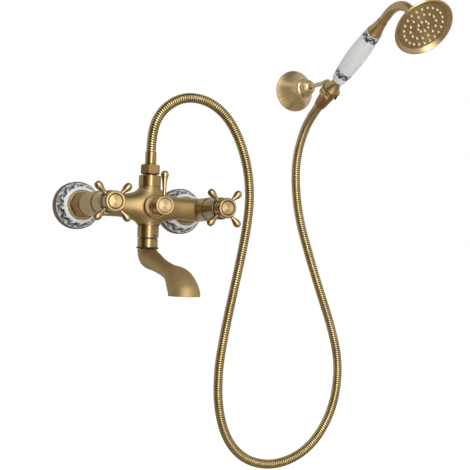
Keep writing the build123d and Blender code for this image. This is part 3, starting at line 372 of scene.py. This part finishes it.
def brass(name, origin=None, direction=None, rough=0.4, rubbed_and_sheen=0.0, faces_rubbed_and_sheen=1.0, lacquer=0.16,
          stain_and_shade=0.0, stain_and_shade_colour=BRASS_DARK):
    """Aged brass. With an axis it is brushed round it, and its flat faces are paler, partly rubbed bright and
    partly a painted sheen.
    """
    shader = Shader(name)
    cloud = shader.noise(CLOUD_SCALE, 2, 0.5)
    fleck = shader.noise(FLECK_SCALE, 2, 0.6)
    if origin is None:
        grain, brushed, tone_shift = {}, shader.noise(CAST_SCALE, 2, 0.5), rubbed_and_sheen
    else:
        grain, brushed, tone_shift = turned_grain(shader, origin, direction, rubbed_and_sheen, faces_rubbed_and_sheen)
    hollow = shader.node(
        "ShaderNodeAmbientOcclusion", {"Distance": RECESS_REACH}, samples=8, only_local=False
    ).outputs["AO"]
    recess = shader.ramp(hollow, 0.35, 0.95, 1.0, 0.0)
    spread = shader.times(recess, shader.ramp(cloud, 0.2, 0.6, 0.55, 1.0))
    aged = shader.mix(shader.ramp(cloud, 0.3, 0.72), BRASS_AGED, BRASS_PALE)
    # Paled towards rubbed brass; on the head, the holder and flat faces this is partly a painted highlight.
    bright = shader.mix(tone_shift, aged, BRASS_RUBBED_AND_SHEEN)
    streaked = shader.mix(shader.ramp(brushed, 0.35, 0.65, 0.0, 0.22), bright, BRASS_DARK)
    spotted = shader.mix(shader.ramp(fleck, 0.66, 0.8, 0.0, 0.35), streaked, BRASS_DARK)
    # Toned towards a real stain on the nuts, and towards a painted shade on the rosette bases.
    toned = shader.mix(stain_and_shade, spotted, stain_and_shade_colour)
    colour = shader.mix(spread, toned, BRASS_DARK)
    polish = shader.add(shader.ramp(brushed, 0.3, 0.7, rough - 0.05, rough + 0.07),
                        shader.times(spread, 0.14))
    edges = shader.node("ShaderNodeBevel", {"Radius": EDGE_RADIUS}, samples=4).outputs[0]
    return shader.finish(
        base_color=colour, metallic=1.0, roughness=polish, specular_tint=BRASS_EDGE,
        normal=shader.bump(brushed, BRUSH_DEPTH, 0.6, edges),
        coat_weight=0.55, coat_roughness=lacquer, **grain)


def within_repeat(shader, lap, shift, stretch):
    """Distance along a repeat from the place at which an ornament stands."""
    local = shader.math("FRACT", shader.add(lap, 1.5 - shift))
    return shader.times(shader.less(local, 0.5), stretch)


def scroll(shader, turn, repeats, across):
    """Painted scrollwork: a vine that swings across a band, with curls and leaves in its bays."""
    wobble = shader.ramp(shader.noise(WOBBLE_SCALE, 2), 0.2, 0.8, -WOBBLE, WOBBLE)
    lap = shader.add(shader.times(turn, repeats / (2 * math.pi)), wobble)
    swing = shader.math("SINE", shader.times(lap, 2 * math.pi))
    height = shader.add(across, shader.times(wobble, WOBBLE_ACROSS))
    vine = shader.math("ABSOLUTE", shader.less(height, shader.times(swing, VINE_SWING)))
    painted = shader.math("LESS_THAN", vine, VINE_WIDTH)
    for shift, side in CURLS:
        x = within_repeat(shader, lap, shift, CURL_STRETCH)
        y = shader.less(height, side)
        reach = shader.math("SQRT", shader.squares(x, y))
        angle = shader.math("ARCTAN2", y, x)
        wound = shader.less(shader.times(reach, CURL_TURNS),
                            shader.math("DIVIDE", angle, 2 * math.pi))
        lobe = shader.math("FRACT", shader.add(wound, 4.0))
        curl = shader.math("GREATER_THAN", lobe, CURL_GAP)
        inside = shader.math("LESS_THAN", reach, CURL_REACH)
        painted = shader.either(painted, shader.times(curl, inside))
    for shift, side in LEAVES:
        x = within_repeat(shader, lap, shift, LEAF_STRETCH)
        y = shader.times(shader.less(height, side), LEAF_SQUASH)
        leaf = shader.math("LESS_THAN", shader.squares(x, y), LEAF_SIZE)
        painted = shader.either(painted, leaf)
    inside = shader.math("LESS_THAN", shader.math("ABSOLUTE", across), 1.0)
    return shader.times(painted, inside)


def porcelain(name, origin, direction, bands, repeats, by_radius=False):
    """Glazed porcelain with painted bands, each given by its middle and its half width."""
    shader = Shader(name)
    along, out, turn = about_axis(shader, origin, direction)
    measure = out if by_radius else along
    ink = None
    for middle, half in bands:
        across = shader.math("DIVIDE", shader.less(measure, middle), half)
        band = scroll(shader, turn, repeats, across)
        ink = band if ink is None else shader.either(ink, band)
    fade = shader.ramp(shader.noise(FADE_SCALE, 3), 0.25, 0.6, 0.9, 1.0)
    cloud = shader.noise(GLAZE_SCALE, 2)
    glaze = shader.mix(shader.ramp(cloud, 0.3, 0.7), GLAZE, GLAZE_SHADE)
    colour = shader.mix(shader.times(ink, fade), glaze, INK)
    return shader.finish(
        base_color=colour, roughness=0.3, ior=1.52, coat_weight=0.15, coat_roughness=0.14)


def plain(name, low, high, rough, grain, metallic=0.0):
    """A simple moulded or turned material with a fine grain between two colours."""
    shader = Shader(name)
    speck = shader.noise(grain, 3, 0.6)
    colour = shader.mix(shader.ramp(speck, 0.3, 0.7), (*low, 1), (*high, 1))
    return shader.finish(
        base_color=colour, metallic=metallic, roughness=rough,
        normal=shader.bump(speck, GRAIN_DEPTH, 0.6))


def hose_brass():
    """Ribbed strip of the hose: pale on each rib's crown, with a painted shade in the grooves."""
    shader = Shader("hose_brass")
    groove = shader.node("ShaderNodeAttribute", attribute_name="groove").outputs["Fac"]
    cloud = shader.noise(HOSE_CLOUD_SCALE, 3, 0.6)
    scratch = shader.noise(HOSE_SCRATCH_SCALE, 2, 0.6)
    aged = shader.mix(shader.ramp(cloud, 0.3, 0.72), HOSE_AGED, HOSE_PALE)
    tone_shift = shader.mix(shader.ramp(scratch, 0.45, 0.75, 0.0, 0.3), aged, BRASS_DARK)
    # Painted shade in the grooves.
    colour = shader.mix(shader.ramp(groove, 0.05, 0.6), tone_shift, HOSE_GROOVE_SHADE)
    return shader.finish(
        base_color=colour, metallic=1.0, roughness=shader.ramp(scratch, 0.3, 0.7, 0.26, 0.34),
        specular_tint=BRASS_EDGE, coat_weight=0.5, coat_roughness=0.22)


def unit(rows):
    """Each row of vectors at length one."""
    return rows / np.linalg.norm(rows, axis=1)[:, None]


def route_line(points):
    """The smooth line of a route, as the points of its NURBS curve."""
    curve = bpy.data.curves.new("hose_route", "CURVE")
    curve.dimensions = "3D"
    curve.resolution_u = 40
    spline = curve.splines.new("NURBS")
    spline.points.add(len(points) - 1)
    for place, point in zip(spline.points, points):
        place.co = (*point, 1)
    spline.order_u = 3
    spline.use_endpoint_u = True
    holder = add_object("hose_route", curve)
    bpy.context.view_layer.update()
    drawn = holder.evaluated_get(bpy.context.evaluated_depsgraph_get())
    mesh = bpy.data.meshes.new_from_object(drawn)
    line = np.array([vertex.co for vertex in mesh.vertices])
    bpy.data.objects.remove(holder)
    bpy.data.meshes.remove(mesh)
    return line


def steady_frames(line):
    """Distances along a line, its headings, and side vectors that turn no more than they must."""
    steps = np.linalg.norm(np.diff(line, axis=0), axis=1)
    distances = np.concatenate([[0], np.cumsum(steps)])
    headings = unit(np.gradient(line, distances, axis=0))
    sides = np.zeros_like(line)
    side = np.array([0.0, 1.0, 0.0])
    for k, heading in enumerate(headings):
        side = side - heading * (side @ heading)
        side /= np.linalg.norm(side)
        sides[k] = side
    return distances, headings, sides


def hose_shape(line):
    """The hose's vertices, ring by ring, its faces, and how deep in a groove each vertex is."""
    distances, headings, sides = steady_frames(line)
    length = distances[-1]
    rings = round(length / RIB_PITCH) * RINGS_PER_RIB + 1
    at = np.linspace(0, length, rings)
    centre, heading, side = [
        np.stack([np.interp(at, distances, rows[:, k]) for k in range(3)], 1)
        for rows in (line, headings, sides)
    ]
    heading = unit(heading)
    side = unit(side)
    other = np.cross(heading, side)
    angle = np.linspace(0, 2 * np.pi, HOSE_SIDES, endpoint=False)
    phase = (np.arange(rings) / RINGS_PER_RIB)[:, None] + angle[None, :] / (2 * np.pi)
    groove = np.exp(-(((phase % 1) - 0.5) / GROOVE_WIDTH) ** 2)
    groove[0] = 0
    groove[-1] = 0
    radius = HOSE_RADIUS - GROOVE_DEPTH * groove
    cosine = np.cos(angle)[None, :, None]
    sine = np.sin(angle)[None, :, None]
    outward = cosine * side[:, None] + sine * other[:, None]
    places = centre[:, None] + radius[:, :, None] * outward
    vertices = places.reshape(-1, 3).tolist() + [line[0].tolist(), line[-1].tolist()]
    faces = []
    for low in range(0, (rings - 1) * HOSE_SIDES, HOSE_SIDES):
        high = low + HOSE_SIDES
        for k in range(HOSE_SIDES):
            after = (k + 1) % HOSE_SIDES
            faces.append((low + k, low + after, high + after, high + k))
    last = (rings - 1) * HOSE_SIDES
    foot = rings * HOSE_SIDES
    for k in range(HOSE_SIDES):
        after = (k + 1) % HOSE_SIDES
        faces.append((foot, after, k))
        faces.append((foot + 1, last + k, last + after))
    return vertices, faces, np.concatenate([groove.ravel(), [0, 0]])


def smooth_mesh(name, vertices, faces, material):
    """A smoothly shaded mesh of one material."""
    mesh = bpy.data.meshes.new(name)
    mesh.from_pydata(vertices, [], faces)
    mesh.polygons.foreach_set("use_smooth", [True] * len(mesh.polygons))
    mesh.materials.append(material)
    return mesh


def make_hose():
    """The ribbed metal hose, its ribs wound as one helix round its route's own line."""
    start = Vector((0, BODY_Y, HOSE_FOOT_Z))
    bend = HANDLE_FOOT + HANDLE_AXIS * (CONE_LOW - HOSE_STRAIGHT)
    end = HANDLE_FOOT + HANDLE_AXIS * CONE_LOW
    line = route_line([tuple(start), *HOSE_POINTS, tuple(bend), tuple(end)])
    vertices, faces, groove = hose_shape(line)
    mesh = smooth_mesh("ribbed_hose", vertices, faces, hose_brass())
    shade = mesh.attributes.new("groove", "FLOAT", "POINT")
    shade.data.foreach_set("value", groove.astype(np.float32))
    hose = add_object("ribbed_hose", mesh)
    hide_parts("shower_hose")
    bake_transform(hose)


def body_distance(places):
    """Distance from the smoothly blended cross of the body, and how far each place is blended."""
    x, y, z = places[..., 0], places[..., 1] - BODY_Y, places[..., 2]
    tube = np.hypot(y, z) - TUBE_RADIUS
    neck = (np.hypot(x, y) - NECK_RADIUS) * BLEND_SPREAD
    share = np.clip(1 - np.abs(tube - neck) / BLEND_HEIGHT, 0, 1)
    return np.minimum(tube, neck) - share ** 2 * BLEND_HEIGHT / 4, share


def body_blend_places():
    """Where rays from the body's centre meet the blended cross, and which places are kept."""
    lean = np.radians(np.linspace(*RAY_LEANS, RAY_ROWS))[:, None]
    turn = np.linspace(0, 2 * np.pi, RAY_COLUMNS, endpoint=False)[None, :]
    rays = np.stack([
        np.cos(lean) + 0 * turn,
        np.sin(lean) * np.cos(turn),
        np.sin(lean) * np.sin(turn),
    ], -1)
    centre = np.array([0, BODY_Y, 0])
    low = np.zeros(rays.shape[:2])
    high = np.full(rays.shape[:2], RAY_REACH)
    for _ in range(RAY_HALVINGS):
        middle = (low + high) / 2
        inside = body_distance(centre + rays * middle[..., None])[0] < SKIN_LIFT
        low = np.where(inside, middle, low)
        high = np.where(inside, high, middle)
    places = centre + rays * low[..., None]
    x, y, z = places[..., 0], places[..., 1], places[..., 2]
    kept = (body_distance(places)[1] > BLEND_LEAST) & (low < BLEND_REACH) & (np.abs(z) < NECK_UP)
    kept &= (np.hypot(x, z) > BOSS_CLEAR) | (y > BODY_Y)
    return places, kept


def make_body_blend(material):
    """The full, soft fillets of the casting, as a thin shell over the corners of the cross."""
    places, kept = body_blend_places()
    rows, columns = kept.shape
    number = np.arange(rows * columns).reshape(rows, columns)
    faces = []
    for i in range(rows - 1):
        for j in range(columns):
            after = (j + 1) % columns
            if kept[i, j] and kept[i + 1, j] and kept[i + 1, after] and kept[i, after]:
                faces.append((number[i, j], number[i + 1, j],
                              number[i + 1, after], number[i, after]))
    used, corners = np.unique(np.array(faces), return_inverse=True)
    vertices = places.reshape(-1, 3)[used].tolist()
    mesh = smooth_mesh("body_blend", vertices, corners.reshape(-1, 4).tolist(), material)
    skin = add_object("body_blend", mesh)
    shell = skin.modifiers.new("shell", "SOLIDIFY")
    shell.thickness = SKIN_DEPTH
    shell.offset = -1
    rim = skin.modifiers.new("rim", "EDGE_SPLIT")
    rim.split_angle = math.radians(SKIN_RIM)
    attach(skin, "mixer")


def choose_materials():
    """The material of each slot, and of each node that has one of its own."""
    along_y = (0, 1, 0)
    left_inlet = (-INLET_X, 0, 0)
    right_inlet = (INLET_X, 0, 0)
    holder_foot = (HANDLE_FOOT.x, 0, mounts["holder_wall_face"]["pos_m"][2])
    low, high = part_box("shower_face_plate")
    face_centre = (Vector(low) + Vector(high)) / 2
    face_tilt = math.radians(HANDLE_RISE - NECK_BEND)
    facing = Vector((0, -math.cos(face_tilt), math.sin(face_tilt)))

    cast = brass("brass_cast", rough=0.46, rubbed_and_sheen=0.3, lacquer=0.4)
    by_slot = {
        "aged_brass": cast,
        "hose_brass": cast,
        "seal_rubber": plain("black_rubber", (0.012, 0.012, 0.012), (0.03, 0.028, 0.026), 0.6, 700),
        "screw_steel": plain("screw_steel", (0.42, 0.42, 0.41), (0.55, 0.55, 0.54), 0.35, 900, 1.0),
        "valve_ceramic": plain("valve_ceramic", (0.78, 0.76, 0.72), (0.84, 0.82, 0.79), 0.3, 500),
        "aerator_plastic": plain("aerator_plastic", (0.5, 0.5, 0.49), (0.58, 0.58, 0.57), 0.5, 600),
        "nozzle_rubber": plain(
            "nozzle_silicone", (0.62, 0.52, 0.38), (0.74, 0.66, 0.52), 0.55, 1200),
    }
    by_start = {
        "left_": brass("brass_left", left_inlet, along_y, faces_rubbed_and_sheen=0.8),
        "right_": brass("brass_right", right_inlet, along_y, faces_rubbed_and_sheen=0.8),
        # The holder's fully pale brass is partly a painted highlight.
        "holder_": brass("brass_holder", holder_foot, along_y, rubbed_and_sheen=1.0),
        "diverter_": brass("brass_front", (0, 0, 0), along_y),
        "handset_": brass("brass_handset", HANDLE_FOOT, HANDLE_AXIS, rubbed_and_sheen=0.45),
    }
    by_node = {}
    for name, slot in slots.items():
        for start, material in by_start.items():
            if slot == "aged_brass" and name.startswith(start):
                by_node[name] = material

    # The head's pale brass and its paler face are partly a painted highlight.
    head = brass("brass_head", face_centre, facing, rubbed_and_sheen=0.8, faces_rubbed_and_sheen=0.45)
    upright = brass("brass_upright", (0, BODY_Y, 0), (0, 0, 1), rubbed_and_sheen=0.25)
    nuts = brass("brass_nuts", rough=0.5, rubbed_and_sheen=0.1, lacquer=0.5, stain_and_shade=0.6, stain_and_shade_colour=BRASS_RED)
    # The rosette bases are darkened all over as a painted shade.
    base = brass("brass_base", rough=0.5, lacquer=0.5, stain_and_shade=0.75)
    groups = (
        (head, ("shower_head_shell", "shower_face_plate", "head_collar_nut")),
        (upright, ("shower_outlet_collar", "hose_ferrule", "spout_collar", "spout_ring_nut")),
        (nuts, ("union_nuts", "hose_nut", "handset_hose_nut")),
        (base, ("left_rosette_base", "right_rosette_base")),
    )
    for material, names in groups:
        by_node.update(dict.fromkeys(names, material))
    by_node["spout"] = brass("brass_spout", rough=0.62, rubbed_and_sheen=0.4, lacquer=0.62)
    by_node["left_porcelain_rosette"] = porcelain(
        "rosette_left", left_inlet, along_y, ROSETTE_BANDS, ROSETTE_REPEATS, True)
    by_node["right_porcelain_rosette"] = porcelain(
        "rosette_right", right_inlet, along_y, ROSETTE_BANDS, ROSETTE_REPEATS, True)
    by_node["porcelain_grip"] = porcelain(
        "grip", HANDLE_FOOT, HANDLE_AXIS, GRIP_BANDS, GRIP_REPEATS)
    return by_slot, by_node


def paint_nodes(by_slot, by_node):
    """Gives every CAD node its finished material."""
    for name, node in nodes.items():
        material = by_node.get(name) or by_slot.get(slots.get(name))
        if material is None:
            continue
        mesh = node.data
        for k in range(len(mesh.materials)):
            mesh.materials[k] = material
        if not mesh.materials:
            mesh.materials.append(material)


def aim(made, place, target):
    """Puts a lamp or a card at a place, facing a target."""
    made.location = place
    way = Vector(target) - Vector(place)
    made.rotation_euler = way.to_track_quat("-Z", "Y").to_euler()


def area_lamp(name, place, target, width, height, power, mirrored=True):
    """A soft box that looks at a point."""
    data = bpy.data.lights.new(name, "AREA")
    data.shape = "RECTANGLE"
    data.size = width
    data.size_y = height
    data.energy = power
    lamp = add_object(name, data)
    lamp.visible_glossy = mirrored
    aim(lamp, place, target)


def flat_sheet(name, width, height, z=0.0):
    """A rectangle about the origin, at a height."""
    w, h = width / 2, height / 2
    mesh = bpy.data.meshes.new(name)
    mesh.from_pydata([(-w, -h, z), (w, -h, z), (w, h, z), (-w, h, z)], [], [(0, 1, 2, 3)])
    return add_object(name, mesh)


def card(name, place, target, width, height, tone=0.03):
    """A card that is seen in the metal alone and shades its reflections from one side."""
    made = flat_sheet(name, width, height)
    aim(made, place, target)
    shader = Shader(name)
    colour = (tone, 0.9 * tone, 0.8 * tone, 1)
    matt = shader.node("ShaderNodeBsdfDiffuse", {"Color": colour})
    made.data.materials.append(shader.show(matt))
    made.visible_camera = False
    made.visible_shadow = False
    made.visible_diffuse = False
    made.visible_transmission = False


def seen_or_mirrored(tree):
    """1 for a ray that the camera, a mirror or clear glass sends, and 0 for the rest."""
    path = tree.nodes.new("ShaderNodeLightPath")
    total = path.outputs["Is Camera Ray"]
    for name in ("Is Glossy Ray", "Is Transmission Ray"):
        both = tree.nodes.new("ShaderNodeMath")
        both.operation = "MAXIMUM"
        tree.links.new(total, both.inputs[0])
        tree.links.new(path.outputs[name], both.inputs[1])
        total = both.outputs[0]
    return total


def make_air():
    """White surroundings, which light the object less than they show."""
    world = bpy.data.worlds.new("studio")
    bpy.context.scene.world = world
    world.use_nodes = True
    tree = world.node_tree
    tree.nodes.clear()
    air = tree.nodes.new("ShaderNodeBackground")
    air.inputs["Color"].default_value = (1, 1, 1, 1)
    level = tree.nodes.new("ShaderNodeMapRange")
    level.inputs["To Min"].default_value = AIR_LEVEL
    tree.links.new(seen_or_mirrored(tree), level.inputs["Value"])
    tree.links.new(level.outputs[0], air.inputs["Strength"])
    out = tree.nodes.new("ShaderNodeOutputWorld")
    tree.links.new(air.outputs[0], out.inputs[0])


def make_floor():
    """A pale floor that looks white and keeps the object's shadow."""
    floor = flat_sheet("floor", 2 * FLOOR_REACH, 2 * FLOOR_REACH, FLOOR_Z)
    shader = Shader("floor")
    matt = shader.node("ShaderNodeBsdfDiffuse", {"Color": (FLOOR_TONE, FLOOR_TONE, FLOOR_TONE, 1)})
    lift = shader.times(seen_or_mirrored(shader.tree), FLOOR_LIFT)
    glow = shader.node("ShaderNodeEmission", {"Color": (1, 1, 1, 1), "Strength": lift})
    both = shader.node("ShaderNodeAddShader")
    shader.tree.links.new(matt.outputs[0], both.inputs[0])
    shader.tree.links.new(glow.outputs[0], both.inputs[1])
    floor.data.materials.append(shader.show(both))


def make_studio():
    """Air, floor, soft boxes, and the cards that the metal mirrors."""
    make_air()
    make_floor()
    area_lamp("key", (-0.2, -1.95, 0.0), STUDIO_CENTRE, 0.5, 3.6, 54)
    area_lamp("fill", (1.5, -0.9, 0.5), STUDIO_CENTRE, 0.6, 1.6, 2, False)
    area_lamp("top", (0.2, -0.5, 1.7), STUDIO_CENTRE, 1.2, 0.8, 4, False)
    card("top_card", (0.1, -0.25, 1.4), STUDIO_CENTRE, 1.8, 0.9)
    card("front_card", (-1.45, -0.62, 0.0), STUDIO_CENTRE, 1.6, 2.4)
    card("floor_card", (0.1, -0.9, FLOOR_Z + FLOOR_CARD_LIFT), (0.1, -0.9, 0), 5.0, 3.6, 0.72)


make_camera()
make_hose()
slot_materials, node_materials = choose_materials()
paint_nodes(slot_materials, node_materials)
make_body_blend(slot_materials["aged_brass"])
make_studio()
bpy.context.scene.view_settings.view_transform = "Standard"
